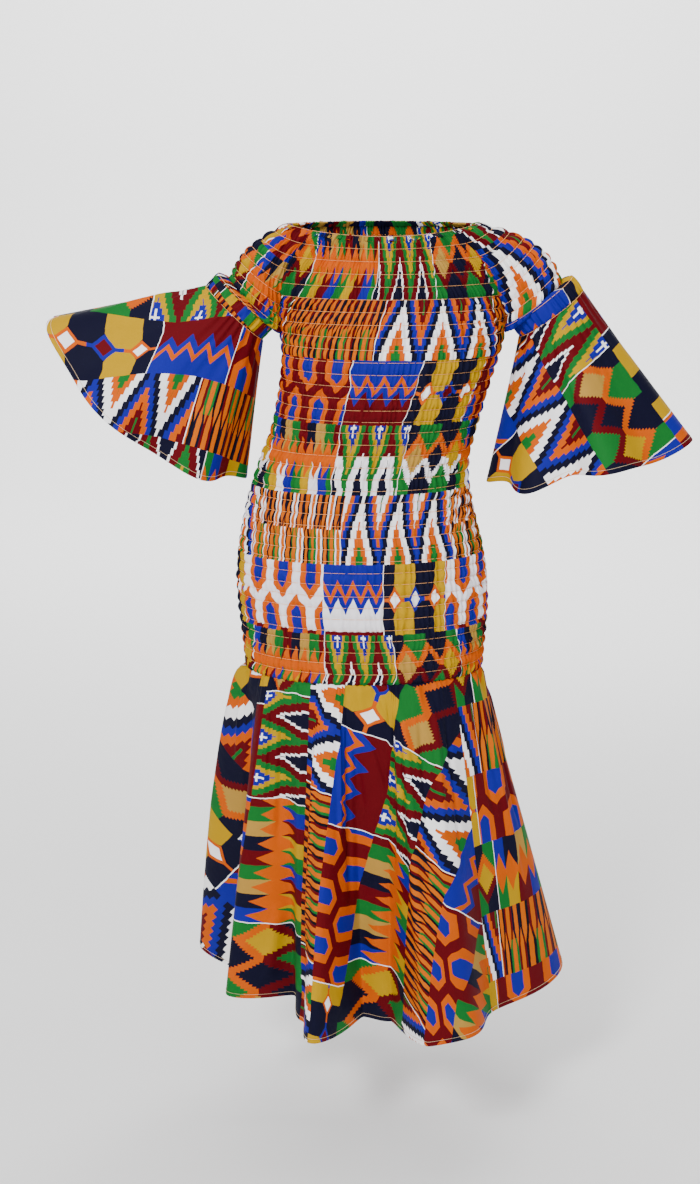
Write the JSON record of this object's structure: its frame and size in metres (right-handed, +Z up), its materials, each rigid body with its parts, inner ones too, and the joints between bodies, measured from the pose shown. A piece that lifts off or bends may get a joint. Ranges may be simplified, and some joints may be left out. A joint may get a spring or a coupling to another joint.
{
  "type": "smocked wax print dress",
  "caption": "Worn ankle-length cotton dress in kente wax print: smocked from neckline to hip, smocked raglan sleeves with wide bells, flared hem flounce.",
  "frame": {"origin": "middle of the neckline, at the height of its front edge, where the wearer's shoulders hold the dress", "axes": "+Z up the standing wearer, -Y out of the front of the dress, +X to the wearer's left"},
  "size_m": [0.9466, 0.5038, 1.2121],
  "materials": {
    "wax_print_cotton": "crisp plain-weave cotton with a printed kente pattern and a faint wax sheen"
  },
  "bodies": {
    "root": {"bodice_front": "wax_print_cotton", "bodice_back": "wax_print_cotton", "sleeve_right": "wax_print_cotton", "sleeve_left": "wax_print_cotton", "bell_right": "wax_print_cotton", "bell_left": "wax_print_cotton", "flounce_front": "wax_print_cotton", "flounce_left": "wax_print_cotton", "flounce_back": "wax_print_cotton", "flounce_right": "wax_print_cotton"}
  },
  "joints": []
}
